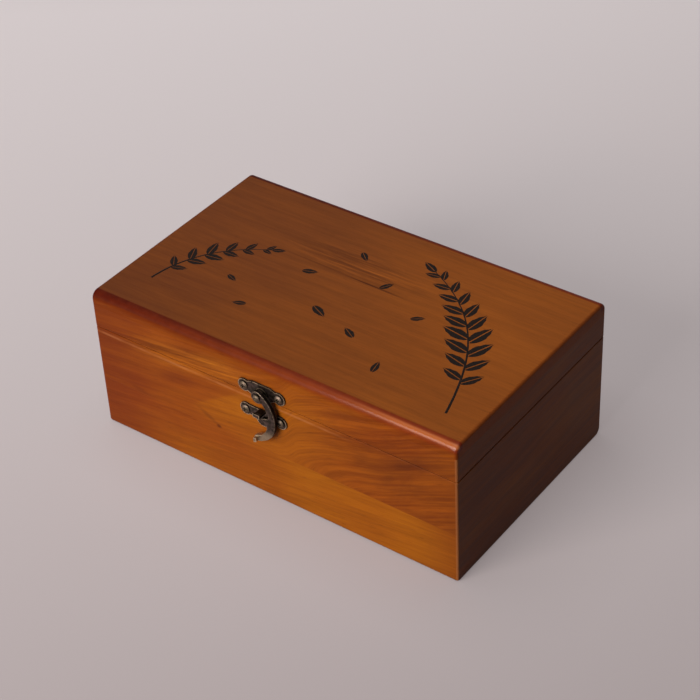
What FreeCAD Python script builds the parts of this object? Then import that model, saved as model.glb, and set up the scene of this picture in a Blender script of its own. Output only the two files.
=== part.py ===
import FreeCAD, Part
import math
import os
import Sketcher

# Hinged wooden keepsake box with a swinging hook latch, in millimetres.
# X runs along the front, Y to the back, Z up. The origin is the middle of the underside.

os.makedirs("parts", exist_ok=True)
doc = FreeCAD.newDocument("KeepsakeBox")

# Driving sizes: name, value, what it is
SIZES = [
    ("box_length", 210.0, "outside length along X"),
    ("box_depth", 126.0, "outside depth along Y"),
    ("base_height", 59.7, "height of the base"),
    ("seam_gap", 0.3, "gap between base and lid"),
    ("lid_height", 20.0, "height of the lid"),
    ("wall", 9.0, "thickness of every board and rail"),
    ("top_thickness", 7.0, "thickness of the lid's top panel"),
    ("floor_thickness", 4.0, "thickness of the bottom panel"),
    ("rebate_width", 4.5, "width of the rebate that takes the bottom panel"),
    ("floor_gap", 0.1, "gap round the bottom panel"),
    ("top_round", 4.2, "rounding of the lid's long top edges"),
    ("back_round", 4.0, "rounding of the base's back bottom edge"),
    ("front_round", 2.0, "rounding of the base's front bottom edge"),
    ("end_round", 1.4, "softening round both end faces"),
    ("seam_round", 0.5, "softening of both edges at the seam"),
    ("latch_offset", -1.8, "place of the latch along X"),
    ("screw_spacing", 20.2, "distance between the two screws of a latch plate"),
    ("plate_thickness", 0.8, "thickness of the two latch plates"),
    ("lobe_radius", 3.4, "radius of a latch plate's round ends"),
    ("plate_waist", 5.2, "half width of a latch plate's middle"),
    ("plate_screw_rise", 4.3, "lid's edge to the screws of the lid plate"),
    ("plate_margin", 0.1, "lid's edge to the lower edge of the lid plate"),
    ("plate_height", 8.3, "height of the lid plate"),
    ("pivot_rise", 3.2, "lid's edge to the hook's pivot"),
    ("boss_radius", 2.9, "radius of the raised boss under the hook"),
    ("boss_height", 1.4, "height of that boss over its plate"),
    ("pivot_play", 0.05, "clearance round and under the hook"),
    ("rivet_radius", 1.1, "radius of the rivet's shank"),
    ("rivet_head", 1.8, "radius of the rivet's head"),
    ("rivet_head_height", 1.2, "height of the rivet's head"),
    ("rivet_dimple", 0.6, "radius of the dimple in the rivet"),
    ("catch_screw_drop", 9.4, "base's rim to the screws of the catch plate"),
    ("catch_hump", 4.3, "radius of the catch plate's lower hump"),
    ("catch_hump_drop", 2.2, "screws down to the centre of that hump"),
    ("catch_band", 2.9, "half height of the catch plate between its ends"),
    ("tongue_drop", 6.1, "base's rim to the top of the catch tongue"),
    ("tongue_half", 1.9, "half width of the catch tongue"),
    ("tongue_thickness", 1.2, "thickness of the catch tongue"),
    ("tongue_length", 6.0, "reach of the tongue from the front board"),
    ("tongue_lip", 0.9, "upturned lip at the end of the tongue"),
    ("latch_play", 0.4, "gap between the tongue and the hook's tooth"),
    ("hook_thickness", 2.0, "thickness of the hook"),
    ("hook_disc", 3.4, "radius of the hook's round eye"),
    ("hook_back_radius", 16.9, "radius of the hook's curved back"),
    ("hook_reach", 9.2, "pivot to the hook's back, sideways"),
    ("hook_shoulder", 4.0, "tooth down to the end of the curved back"),
    ("tooth_reach", 0.9, "pivot to the tip of the tooth, sideways"),
    ("tooth_root", 4.9, "pivot to the root of the tooth, sideways"),
    ("notch_reach", 5.6, "pivot to the deepest point of the notch"),
    ("notch_height", 3.3, "height of the notch above the tooth"),
    ("tail_edge", 4.3, "pivot to the tail's inner edge, sideways"),
    ("tail_width", 3.2, "width of the tail at its foot"),
    ("tail_drop", 10.7, "tooth down to the foot of the hook"),
    ("foot_reach", 2.9, "pivot to the end of the finger foot"),
    ("foot_height", 3.8, "height of the finger foot"),
    ("foot_lip", 1.6, "raised lip at the end of the finger foot"),
    ("hook_corner", 0.6, "rounding of the corners of the hook's outline"),
    ("hook_soft", 0.4, "softening of the hook's front edge"),
    ("screw_radius", 0.9, "radius of every screw's shank"),
    ("screw_head", 2.1, "radius of a latch screw's head"),
    ("screw_head_height", 1.0, "height of a latch screw's head"),
    ("screw_length", 6.5, "length of every screw in the wood"),
    ("screw_point", 1.6, "length of the screw's point"),
    ("slot_width", 0.7, "width of the cross in a screw's head"),
    ("slot_reach", 1.15, "half length of that cross"),
    ("slot_depth", 0.55, "depth of that cross"),
    ("hinge_inset", 40.0, "box's end to the middle of a hinge"),
    ("hinge_length", 25.0, "length of a hinge"),
    ("leaf_thickness", 0.8, "thickness of a hinge leaf"),
    ("leaf_height", 9.6, "height of a hinge leaf from the pin's axis"),
    ("knuckle_radius", 1.6, "outer radius of the hinge knuckles"),
    ("knuckle_gap", 0.3, "gap between the knuckles and the wood"),
    ("knuckle_length", 9.0, "length of the middle knuckle"),
    ("knuckle_play", 0.15, "end play between knuckles"),
    ("pin_radius", 0.8, "radius of the hinge pin"),
    ("pin_play", 0.05, "clearance round the hinge pin"),
    ("hinge_screw_spacing", 17.0, "distance between the screws of a leaf"),
    ("hinge_screw_drop", 6.0, "pin's axis to the screws of a leaf"),
    ("hinge_screw_head", 1.7, "radius of a hinge screw's head"),
    ("hinge_head_height", 0.6, "height of a hinge screw's head"),
]


class Size:
    """A length with the formula that ties it to the sheet."""

    def __init__(self, value, text):
        self.value = value
        self.text = text

    def __add__(self, other):
        other = as_size(other)
        return Size(self.value + other.value, "(%s + %s)" % (self.text, other.text))

    def __radd__(self, other):
        return as_size(other) + self

    def __sub__(self, other):
        other = as_size(other)
        return Size(self.value - other.value, "(%s - %s)" % (self.text, other.text))

    def __rsub__(self, other):
        return as_size(other) - self

    def __mul__(self, number):
        return Size(self.value * number, "(%s * %s)" % (self.text, number))

    def __truediv__(self, number):
        return Size(self.value / number, "(%s / %s)" % (self.text, number))

    def __neg__(self):
        return Size(-self.value, "(0 - %s)" % self.text)


def as_size(number):
    if isinstance(number, Size):
        return number
    return Size(float(number), repr(float(number)))


def fill_sheet():
    sheet = doc.addObject("Spreadsheet::Sheet", "Sizes")
    table = {}
    for row, (name, value, note) in enumerate(SIZES, 1):
        sheet.set("A%d" % row, note)
        sheet.set("B%d" % row, str(value))
        sheet.setAlias("B%d" % row, name)
        table[name] = Size(value, "Sizes.%s" % name)
    doc.recompute()
    return table


S = fill_sheet()

# Places that several pieces share
HALF_LENGTH = S["box_length"] / 2
HALF_DEPTH = S["box_depth"] / 2
SEAM = S["base_height"]
LID_EDGE = S["base_height"] + S["seam_gap"]
LID_TOP = LID_EDGE + S["lid_height"]
PANEL_UNDER = LID_TOP - S["top_thickness"]
LATCH = S["latch_offset"]
PIVOT_Z = LID_EDGE + S["pivot_rise"]
HOOK_BACK = S["plate_thickness"] + S["boss_height"] + S["pivot_play"]
HOOK_FACE = HOOK_BACK + S["hook_thickness"]
TOOTH = S["pivot_rise"] + S["seam_gap"] + S["tongue_drop"] + S["tongue_thickness"] + S["latch_play"]
PIN_Y = HALF_DEPTH + S["knuckle_radius"] + S["knuckle_gap"]
PIN_Z = S["base_height"] + S["seam_gap"] / 2
PIN_OUT = S["knuckle_radius"] + S["knuckle_gap"]

# The least bend, in degrees, that counts as a corner of the hook's outline
CORNER_BEND = 8

# Front pieces are drawn looking at the front, back pieces looking at the back
FRONT = FreeCAD.Rotation(FreeCAD.Vector(1, 0, 0), 90)
BACK = FreeCAD.Rotation(FreeCAD.Vector(0, 0, 1), 180) * FRONT
ALONG_X = FreeCAD.Rotation(FreeCAD.Vector(0, 1, 0), 90)
LEVEL = FreeCAD.Rotation()

parts = []


def bind(thing, **formulas):
    for name, size in formulas.items():
        thing.setExpression(name.replace("_", "."), as_size(size).text)


def place(thing, spot, turn=LEVEL):
    x, y, z = [as_size(value) for value in spot]
    thing.Placement = FreeCAD.Placement(FreeCAD.Vector(x.value, y.value, z.value), turn)
    bind(thing, Placement_Base_x=x, Placement_Base_y=y, Placement_Base_z=z)


def keep(thing, label):
    thing.Label = label
    parts.append(thing)
    return thing


def plane(body, role):
    for feature in body.Origin.OriginFeatures:
        if feature.Role == role:
            return feature


def add_box(name, low, high):
    box = doc.addObject("Part::Box", name)
    spans = [as_size(top) - as_size(bottom) for bottom, top in zip(low, high)]
    bind(box, Length=spans[0], Width=spans[1], Height=spans[2])
    place(box, low)
    return box


def add_cylinder(name, radius, length, spot, turn):
    cylinder = doc.addObject("Part::Cylinder", name)
    bind(cylinder, Radius=radius, Height=length)
    place(cylinder, spot, turn)
    return cylinder


def cut(name, base, tool):
    result = doc.addObject("Part::Cut", name)
    result.Base = base
    result.Tool = tool
    return result


def common(name, base, tool):
    result = doc.addObject("Part::Common", name)
    result.Base = base
    result.Tool = tool
    return result


def add_body(name, spot=(0, 0, 0), turn=LEVEL):
    body = doc.addObject("PartDesign::Body", name)
    place(body, spot, turn)
    return body


def add_sketch(body, name, role, height=None):
    sketch = body.newObject("Sketcher::SketchObject", name)
    sketch.AttachmentSupport = [(plane(body, role), "")]
    sketch.MapMode = "FlatFace"
    if height is not None:
        sketch.setExpression("AttachmentOffset.Base.z", as_size(height).text)
    return sketch


def pin_point(sketch, curve, end, spot):
    """Hold one point of a curve at a place given by two sizes."""
    for kind, axis, size in (("DistanceX", -2, spot[0]), ("DistanceY", -1, spot[1])):
        size = as_size(size)
        if size.value == 0.0:
            sketch.addConstraint(Sketcher.Constraint("PointOnObject", curve, end, axis))
            continue
        index = sketch.addConstraint(Sketcher.Constraint(kind, curve, end, size.value))
        sketch.setExpression("Constraints[%d]" % index, size.text)


def set_radius(sketch, curve, radius):
    radius = as_size(radius)
    index = sketch.addConstraint(Sketcher.Constraint("Radius", curve, radius.value))
    sketch.setExpression("Constraints[%d]" % index, radius.text)


def make_arc(start, end, radius, clockwise, wide):
    """An arc from start to end; wide picks the one over half a circle."""
    chord = end - start
    middle = (start + end) * 0.5
    rise = math.sqrt(max(radius * radius - chord.Length * chord.Length / 4, 0.0))
    side = FreeCAD.Vector(-chord.y, chord.x, 0).normalize()
    if clockwise != wide:
        side = side * -1
    centre = middle + side * rise
    circle = Part.Circle(centre, FreeCAD.Vector(0, 0, 1), radius)
    first = math.atan2(start.y - centre.y, start.x - centre.x)
    last = math.atan2(end.y - centre.y, end.x - centre.x)
    if clockwise:
        first, last = last, first
    if last <= first:
        last += 2 * math.pi
    return Part.ArcOfCircle(circle, first, last)


def draw_outline(sketch, steps):
    """A closed outline; each step is a corner, then the arc that leaves it, if any."""
    corners = [step[0] for step in steps]
    spots = [FreeCAD.Vector(as_size(x).value, as_size(y).value, 0) for x, y in corners]
    ends = []
    for number, step in enumerate(steps):
        start = spots[number]
        end = spots[(number + 1) % len(steps)]
        if len(step) == 1:
            curve = sketch.addGeometry(Part.LineSegment(start, end), False)
            ends.append((curve, 1, 2))
            continue
        radius, clockwise, wide = step[1]
        arc = make_arc(start, end, as_size(radius).value, clockwise, wide)
        curve = sketch.addGeometry(arc, False)
        ends.append((curve, 2, 1) if clockwise else (curve, 1, 2))
    for number, (curve, first, last) in enumerate(ends):
        follower, follower_first, _ = ends[(number + 1) % len(ends)]
        sketch.addConstraint(Sketcher.Constraint("Coincident", curve, last, follower, follower_first))
        pin_point(sketch, curve, first, corners[number])
    for (curve, _, _), step in zip(ends, steps):
        if len(step) > 1:
            set_radius(sketch, curve, step[1][0])


def draw_circle(sketch, spot, radius):
    x, y = [as_size(value) for value in spot]
    circle = Part.Circle(FreeCAD.Vector(x.value, y.value, 0), FreeCAD.Vector(0, 0, 1), as_size(radius).value)
    curve = sketch.addGeometry(circle, False)
    pin_point(sketch, curve, 3, (x, y))
    set_radius(sketch, curve, radius)


def add_pad(body, name, sketch, length):
    pad = body.newObject("PartDesign::Pad", name)
    pad.Profile = sketch
    bind(pad, Length=length)
    return pad


def add_pocket(body, name, sketch, depth=None):
    pocket = body.newObject("PartDesign::Pocket", name)
    pocket.Profile = sketch
    if depth is None:
        pocket.Type = 1
        pocket.Midplane = True
    else:
        bind(pocket, Length=depth)
    return pocket


def soften(body, name, base, radius, wanted):
    """Round every edge of the base whose box passes the test."""
    doc.recompute()
    edges = ["Edge%d" % number for number, edge in enumerate(base.Shape.Edges, 1) if wanted(edge)]
    fillet = body.newObject("PartDesign::Fillet", name)
    fillet.Base = (base, edges)
    bind(fillet, Radius=radius)
    return fillet


# Outer forms of base and lid, from which the boards are cut


def lies_at(edge, axis, value):
    box = edge.BoundBox
    low = (box.XMin, box.YMin, box.ZMin)[axis]
    high = (box.XMax, box.YMax, box.ZMax)[axis]
    return abs(low - value) < 0.001 and abs(high - value) < 0.001


def end_edge(edge, flat_side):
    half = HALF_LENGTH.value
    on_end = lies_at(edge, 0, half) or lies_at(edge, 0, -half)
    return on_end and not lies_at(edge, 2, flat_side)


def add_form(name, bottom, height):
    body = add_body(name, (0, 0, bottom))
    sketch = add_sketch(body, name + "_plan", "XY_Plane")
    draw_outline(sketch, [
        ((-HALF_LENGTH, -HALF_DEPTH),),
        ((HALF_LENGTH, -HALF_DEPTH),),
        ((HALF_LENGTH, HALF_DEPTH),),
        ((-HALF_LENGTH, HALF_DEPTH),),
    ])
    return body, add_pad(body, name + "_block", sketch, height)


def base_form():
    depth = HALF_DEPTH.value
    rim = S["base_height"].value
    body, block = add_form("base_form", 0, S["base_height"])
    front = soften(body, "front_foot_round", block, S["front_round"],
                   lambda edge: lies_at(edge, 1, -depth) and lies_at(edge, 2, 0))
    back = soften(body, "back_foot_round", front, S["back_round"],
                  lambda edge: lies_at(edge, 1, depth) and lies_at(edge, 2, 0))
    ends = soften(body, "base_end_round", back, S["end_round"], lambda edge: end_edge(edge, rim))
    soften(body, "base_rim_round", ends, S["seam_round"], lambda edge: lies_at(edge, 2, rim))
    return body


def lid_form():
    top = S["lid_height"].value
    depth = HALF_DEPTH.value
    body, block = add_form("lid_form", LID_EDGE, S["lid_height"])
    long_edges = soften(body, "top_edge_round", block, S["top_round"],
                        lambda edge: lies_at(edge, 2, top)
                        and (lies_at(edge, 1, depth) or lies_at(edge, 1, -depth)))
    ends = soften(body, "lid_end_round", long_edges, S["end_round"], lambda edge: end_edge(edge, 0))
    soften(body, "lid_rim_round", ends, S["seam_round"], lambda edge: lies_at(edge, 2, 0))
    return body


# Mitred boards and rails

SIDES = [
    ("front", HALF_LENGTH, HALF_DEPTH, 0),
    ("right", HALF_DEPTH, HALF_LENGTH, 90),
    ("back", HALF_LENGTH, HALF_DEPTH, 180),
    ("left", HALF_DEPTH, HALF_LENGTH, 270),
]


def mitre_block(name, half_run, out, turn, bottom, top):
    """A block as wide as a wall, with both ends cut at 45 degrees."""
    wedge = doc.addObject("Part::Wedge", name)
    inner = half_run - S["wall"]
    bind(wedge, Xmin=-half_run, Xmax=half_run, X2min=-inner, X2max=inner)
    bind(wedge, Ymin=-out, Ymax=S["wall"] - out)
    bind(wedge, Zmin=bottom, Zmax=top, Z2min=bottom, Z2max=top)
    wedge.Placement = FreeCAD.Placement(
        FreeCAD.Vector(), FreeCAD.Rotation(FreeCAD.Vector(0, 0, 1), turn))
    return wedge


def base_boards(form):
    edge = S["wall"] - S["rebate_width"]
    x = HALF_LENGTH - edge
    y = HALF_DEPTH - edge
    boards = {}
    for side, half_run, out, turn in SIDES:
        block = mitre_block(side + "_mitre", half_run, out, turn, 0, SEAM)
        whole = common(side + "_blank", form, block)
        rebate = add_box(side + "_rebate", (-x, -y, 0), (x, y, S["floor_thickness"]))
        boards[side] = cut(side + "_rebated", whole, rebate)
    return boards


def bottom_panel():
    edge = S["wall"] - S["rebate_width"] + S["floor_gap"]
    x = HALF_LENGTH - edge
    y = HALF_DEPTH - edge
    keep(add_box("bottom_panel", (-x, -y, 0), (x, y, S["floor_thickness"])), "bottom_panel")


def lid_pieces(form):
    rails = {}
    for side, half_run, out, turn in SIDES:
        block = mitre_block(side + "_rail_mitre", half_run, out, turn, LID_EDGE, PANEL_UNDER)
        rails[side] = common(side + "_rail_blank", form, block)
    slab = add_box("top_slab", (-HALF_LENGTH, -HALF_DEPTH, PANEL_UNDER), (HALF_LENGTH, HALF_DEPTH, LID_TOP))
    keep(common("lid_top_panel", form, slab), "lid_top_panel")
    return rails


# Screws, with the pilot holes that they fill


def add_screw(name, spot, turn, seat, head, head_height):
    """A round-headed screw; seat is the plate it holds, its axis is the drawing's Z."""
    shank = S["screw_radius"]
    body = add_body(name, spot, turn)
    outline = add_sketch(body, name + "_half", "XZ_Plane")
    draw_outline(outline, [
        ((0, -S["screw_length"]),),
        ((shank, S["screw_point"] - S["screw_length"]),),
        ((shank, seat),),
        ((head, seat),),
        ((head, seat + head_height * 0.45),),
        ((head * 0.62, seat + head_height),),
        ((0, seat + head_height),),
    ])
    turned = body.newObject("PartDesign::Revolution", name + "_turned")
    turned.Profile = outline
    turned.ReferenceAxis = (outline, ["V_Axis"])
    turned.Angle = 360
    cross = add_sketch(body, name + "_cross", "XY_Plane", seat + head_height)
    near = S["slot_width"] / 2
    far = S["slot_reach"]
    draw_outline(cross, [
        ((near, near),), ((near, far),), ((-near, far),), ((-near, near),),
        ((-far, near),), ((-far, -near),), ((-near, -near),), ((-near, -far),),
        ((near, -far),), ((near, -near),), ((far, -near),), ((far, near),),
    ])
    add_pocket(body, name + "_recess", cross, S["slot_depth"])
    return keep(body, name)


def drill(name, board, spot, turn):
    """The pilot hole for one screw, along the drawing's minus Z."""
    shank = S["screw_radius"]
    pilot = doc.addObject("Part::Cone", name + "_point")
    bind(pilot, Radius1=0, Radius2=shank, Height=S["screw_point"])
    deep = list(spot)
    forward = turn.multVec(FreeCAD.Vector(0, 0, 1)).y
    deep[1] = spot[1] - S["screw_length"] * forward
    place(pilot, deep, turn)
    bore_start = list(spot)
    bore_start[1] = spot[1] + (S["screw_point"] - S["screw_length"]) * forward
    bore = add_cylinder(name + "_bore", shank, S["screw_length"] - S["screw_point"], bore_start, turn)
    return cut(name + "_drilled", cut(name + "_pointed", board, pilot), bore)


def screw_row(name, board, spots, turn, seat, head, head_height):
    """Drill and fill one screw for each spot; returns the drilled board."""
    for side, spot in zip(("left", "right"), spots):
        label = "%s_%s" % (name, side)
        board = drill(label, board, spot, turn)
        add_screw(label, spot, turn, seat, head, head_height)
    return board


# Latch


def screw_pair(middle, y, z, spacing):
    return [(middle - spacing / 2, y, z), (middle + spacing / 2, y, z)]


def plate_outline(sketch, rise, low, high, waist):
    """A strip with a round lobe at each end; rise is the height of the lobes' centres."""
    lobe = S["lobe_radius"]
    reach = S["screw_spacing"] / 2
    lobe_arc = (lobe, False, True)
    draw_outline(sketch, [
        ((-waist, low),),
        ((waist, low),),
        ((reach - lobe * 0.64, rise - lobe * 0.7684), lobe_arc),
        ((reach - lobe * 0.5, rise + lobe * 0.866),),
        ((waist, high),),
        ((-waist, high),),
        ((lobe * 0.5 - reach, rise + lobe * 0.866), lobe_arc),
        ((lobe * 0.64 - reach, rise - lobe * 0.7684),),
    ])


def screw_holes(body, name, rise):
    holes = add_sketch(body, name, "XY_Plane")
    reach = S["screw_spacing"] / 2
    draw_circle(holes, (-reach, rise), S["screw_radius"])
    draw_circle(holes, (reach, rise), S["screw_radius"])
    add_pocket(body, name + "_cut", holes)


def latch_plate():
    """The lid's plate, with the raised boss that carries the hook."""
    body = add_body("latch_plate", (LATCH, -HALF_DEPTH, LID_EDGE), FRONT)
    sketch = add_sketch(body, "latch_plate_outline", "XY_Plane")
    low = S["plate_margin"]
    plate_outline(sketch, S["plate_screw_rise"], low, low + S["plate_height"], S["plate_waist"])
    add_pad(body, "latch_plate_sheet", sketch, S["plate_thickness"])
    boss = add_sketch(body, "boss_outline", "XY_Plane", S["plate_thickness"])
    draw_circle(boss, (0, S["pivot_rise"]), S["boss_radius"])
    add_pad(body, "boss", boss, S["boss_height"])
    screw_holes(body, "latch_plate_holes", S["plate_screw_rise"])
    eye = add_sketch(body, "rivet_hole_outline", "XY_Plane")
    draw_circle(eye, (0, S["pivot_rise"]), S["rivet_radius"])
    add_pocket(body, "rivet_hole", eye)
    keep(body, "latch_plate")


def latch_rivet():
    """The rivet on which the hook turns, with a dimpled head."""
    body = add_body("latch_rivet", (LATCH, -HALF_DEPTH, PIVOT_Z), FRONT)
    outline = add_sketch(body, "rivet_half", "XZ_Plane")
    seat = HOOK_FACE + S["pivot_play"]
    top = seat + S["rivet_head_height"]
    draw_outline(outline, [
        ((0, 0),),
        ((S["rivet_radius"], 0),),
        ((S["rivet_radius"], seat),),
        ((S["rivet_head"], seat),),
        ((S["rivet_head"], seat + S["rivet_head_height"] * 0.5),),
        ((S["rivet_dimple"] * 1.8, top),),
        ((S["rivet_dimple"], top),),
        ((0, top - S["rivet_dimple"]),),
    ])
    turned = body.newObject("PartDesign::Revolution", "rivet_turned")
    turned.Profile = outline
    turned.ReferenceAxis = (outline, ["V_Axis"])
    turned.Angle = 360
    keep(body, "latch_rivet")


def outline_corner(solid, edge):
    """Whether an edge stands upright where the outline bends."""
    start, end = edge.Vertexes[0].Point, edge.Vertexes[-1].Point
    if len(edge.Vertexes) < 2 or math.hypot(start.x - end.x, start.y - end.y) > 0.001:
        return False
    normals = []
    for face in solid.ancestorsOfType(edge, Part.Face):
        normals.append(face.normalAt(*face.Surface.parameter(start)))
    return math.degrees(normals[0].getAngle(normals[1])) > CORNER_BEND


def latch_hook():
    """The swinging hook: eye, curved back, foot, tail, tooth and notch, with a lip for the finger."""
    body = add_body("latch_hook", (LATCH, -HALF_DEPTH, PIVOT_Z), FRONT)
    sketch = add_sketch(body, "hook_outline", "XY_Plane", HOOK_BACK)
    disc = S["hook_disc"]
    foot = -(TOOTH + S["tail_drop"])
    shoulder = -(TOOTH + S["hook_shoulder"])
    draw_outline(sketch, [
        ((disc * 0.547, disc * 0.837), (S["hook_back_radius"], True, False)),
        ((S["hook_reach"], shoulder), (S["hook_reach"] * 1.5, True, False)),
        ((S["tail_width"], foot - S["foot_height"] * 0.6),),
        ((S["tail_width"] * 0.2, foot - S["foot_height"]),),
        ((-S["foot_reach"], foot - S["foot_height"] * 1.3), (S["foot_height"] * 0.6, True, False)),
        ((-S["foot_reach"], foot - S["foot_height"] * 0.4),),
        ((S["tail_width"] * 0.22, foot), (S["hook_reach"] * 1.3, False, False)),
        ((S["tail_edge"], shoulder - S["hook_shoulder"] * 0.4),),
        ((S["tail_edge"], shoulder + S["hook_shoulder"] * 0.1),),
        ((S["tooth_root"] * 0.67, shoulder + S["hook_shoulder"] * 0.45),),
        ((S["tooth_reach"], -(TOOTH + S["latch_play"])),),
        ((S["tooth_root"], S["notch_height"] * 0.2 - TOOTH), (S["notch_height"] * 0.9, False, False)),
        ((S["notch_reach"], S["notch_height"] * 1.2 - TOOTH),),
        ((disc * 0.706, -disc * 0.7082), (disc, True, True)),
    ])
    blade = add_pad(body, "hook_blade", sketch, S["hook_thickness"])
    doc.recompute()
    solid = blade.Shape
    corners = soften(body, "hook_corners", blade, S["hook_corner"], lambda edge: outline_corner(solid, edge))
    face = HOOK_FACE.value
    soften(body, "hook_face_round", corners, S["hook_soft"], lambda edge: lies_at(edge, 2, face))
    tab = add_sketch(body, "finger_lip_outline", "XY_Plane", HOOK_BACK)
    right = -(S["foot_reach"] - S["foot_lip"])
    draw_outline(tab, [
        ((-S["foot_reach"], foot - S["foot_height"] * 1.2),),
        ((right, foot - S["foot_height"] * 1.05),),
        ((right, foot - S["foot_height"] * 0.45),),
        ((-S["foot_reach"], foot - S["foot_height"] * 0.55),),
    ])
    add_pad(body, "finger_lip", tab, S["hook_thickness"] + S["foot_lip"])
    eye = add_sketch(body, "hook_eye_outline", "XY_Plane")
    draw_circle(eye, (0, 0), S["rivet_radius"] + S["pivot_play"])
    add_pocket(body, "hook_eye", eye)
    keep(body, "latch_hook")


def catch_plate():
    """The base's plate, whose tongue reaches out through the hook's notch."""
    body = add_body("catch_plate", (LATCH, -HALF_DEPTH, SEAM - S["catch_screw_drop"]), FRONT)
    sketch = add_sketch(body, "catch_plate_outline", "XY_Plane")
    band = S["catch_band"]
    plate_outline(sketch, 0, -band, band, S["plate_waist"])
    add_pad(body, "catch_plate_sheet", sketch, S["plate_thickness"])
    hump = add_sketch(body, "catch_hump_outline", "XY_Plane")
    draw_circle(hump, (0, -S["catch_hump_drop"]), S["catch_hump"])
    add_pad(body, "catch_hump_sheet", hump, S["plate_thickness"])
    top = S["catch_screw_drop"] - S["tongue_drop"]
    bottom = top - S["tongue_thickness"]
    half = S["tongue_half"]
    tongue = add_sketch(body, "tongue_outline", "YZ_Plane")
    lip = S["tongue_length"] - S["tongue_thickness"]
    draw_outline(tongue, [
        ((band * 0.3, 0),),
        ((bottom, 0),),
        ((bottom, S["tongue_length"]),),
        ((top + S["tongue_lip"], S["tongue_length"]),),
        ((top + S["tongue_lip"], lip),),
        ((top, lip),),
        ((top, S["plate_thickness"]),),
        ((band * 0.3, S["plate_thickness"]),),
    ])
    bent = add_pad(body, "tongue", tongue, half * 2)
    bent.Midplane = True
    screw_holes(body, "catch_plate_holes", 0)
    keep(body, "catch_plate")


# Hinges


def knuckle(name, start, length, middle):
    return add_cylinder(name, S["knuckle_radius"], length, (middle + start, PIN_Y, PIN_Z), ALONG_X)


def leaf(name, middle, up, board):
    """One leaf with its knuckles; the base has the outer two and the lid the middle one."""
    half = S["hinge_length"] / 2
    clear = S["knuckle_length"] / 2 + S["knuckle_play"]
    inner = S["knuckle_length"] / 2
    flat_low = (middle - half, HALF_DEPTH, PIN_Z + PIN_OUT)
    flat_high = (middle + half, HALF_DEPTH + S["leaf_thickness"], PIN_Z + S["leaf_height"])
    runs = [(-inner, inner)]
    if not up:
        flat_low = (middle - half, HALF_DEPTH, PIN_Z - S["leaf_height"])
        flat_high = (middle + half, HALF_DEPTH + S["leaf_thickness"], PIN_Z - PIN_OUT)
        runs = [(-half, -clear), (clear, half)]
    pieces = [add_box(name + "_flat", flat_low, flat_high)]
    for number, (start, stop) in enumerate(runs):
        low = PIN_Z if up else PIN_Z - PIN_OUT
        high = PIN_Z + PIN_OUT if up else PIN_Z
        web = add_box("%s_web_%d" % (name, number), (middle + start, HALF_DEPTH, low),
                      (middle + stop, HALF_DEPTH + S["leaf_thickness"], high))
        pieces.append(web)
        pieces.append(knuckle("%s_knuckle_%d" % (name, number), start, stop - start, middle))
    sheet = doc.addObject("Part::MultiFuse", name + "_sheet")
    sheet.Shapes = pieces
    bore = add_cylinder(name + "_pin_bore", S["pin_radius"] + S["pin_play"], S["hinge_length"],
                        (middle - half, PIN_Y, PIN_Z), ALONG_X)
    solid = cut(name + "_bored", sheet, bore)
    rise = S["hinge_screw_drop"] if up else -S["hinge_screw_drop"]
    spots = screw_pair(middle, HALF_DEPTH, PIN_Z + rise, S["hinge_screw_spacing"])
    for number, spot in enumerate(spots):
        hole = add_cylinder("%s_hole_%d" % (name, number), S["screw_radius"], S["leaf_thickness"], spot, BACK)
        solid = cut("%s_pierced_%d" % (name, number), solid, hole)
    keep(solid, name)
    return screw_row(name.replace("leaf", "screw"), board, spots, BACK, S["leaf_thickness"],
                     S["hinge_screw_head"], S["hinge_head_height"])


def hinges(back_board, back_rail):
    for side, sign in (("left", -1), ("right", 1)):
        middle = (HALF_LENGTH - S["hinge_inset"]) * sign
        back_board = leaf("%s_hinge_base_leaf" % side, middle, False, back_board)
        back_rail = leaf("%s_hinge_lid_leaf" % side, middle, True, back_rail)
        pin = add_cylinder("%s_hinge_pin" % side, S["pin_radius"], S["hinge_length"],
                           (middle - S["hinge_length"] / 2, PIN_Y, PIN_Z), ALONG_X)
        keep(pin, "%s_hinge_pin" % side)
    return back_board, back_rail


# The whole box

boards = base_boards(base_form())
bottom_panel()
rails = lid_pieces(lid_form())
catch_spots = screw_pair(LATCH, -HALF_DEPTH, SEAM - S["catch_screw_drop"], S["screw_spacing"])
plate_spots = screw_pair(LATCH, -HALF_DEPTH, LID_EDGE + S["plate_screw_rise"], S["screw_spacing"])
boards["front"] = screw_row("catch_screw", boards["front"], catch_spots, FRONT, S["plate_thickness"],
                            S["screw_head"], S["screw_head_height"])
rails["front"] = screw_row("latch_screw", rails["front"], plate_spots, FRONT, S["plate_thickness"],
                           S["screw_head"], S["screw_head_height"])
latch_plate()
latch_rivet()
latch_hook()
catch_plate()
boards["back"], rails["back"] = hinges(boards["back"], rails["back"])
for side in ("front", "right", "back", "left"):
    keep(boards[side], "box_%s_board" % side)
    keep(rails[side], "lid_%s_rail" % side)

doc.recompute()
for thing in doc.Objects:
    if "Invalid" in thing.State or "Error" in thing.State:
        raise RuntimeError("%s failed: %s" % (thing.Name, thing.State))
for part in parts:
    if part.Shape.isNull() or not part.Shape.isValid():
        raise RuntimeError("%s has no valid shape" % part.Label)
for part in parts:
    part.Shape.exportStep("parts/%s.step" % part.Label)
    print("%-28s solids %d volume %.2f" % (part.Label, len(part.Shape.Solids), part.Shape.Volume))
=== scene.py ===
import bpy
import math
from mathutils import Matrix, Vector


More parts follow.
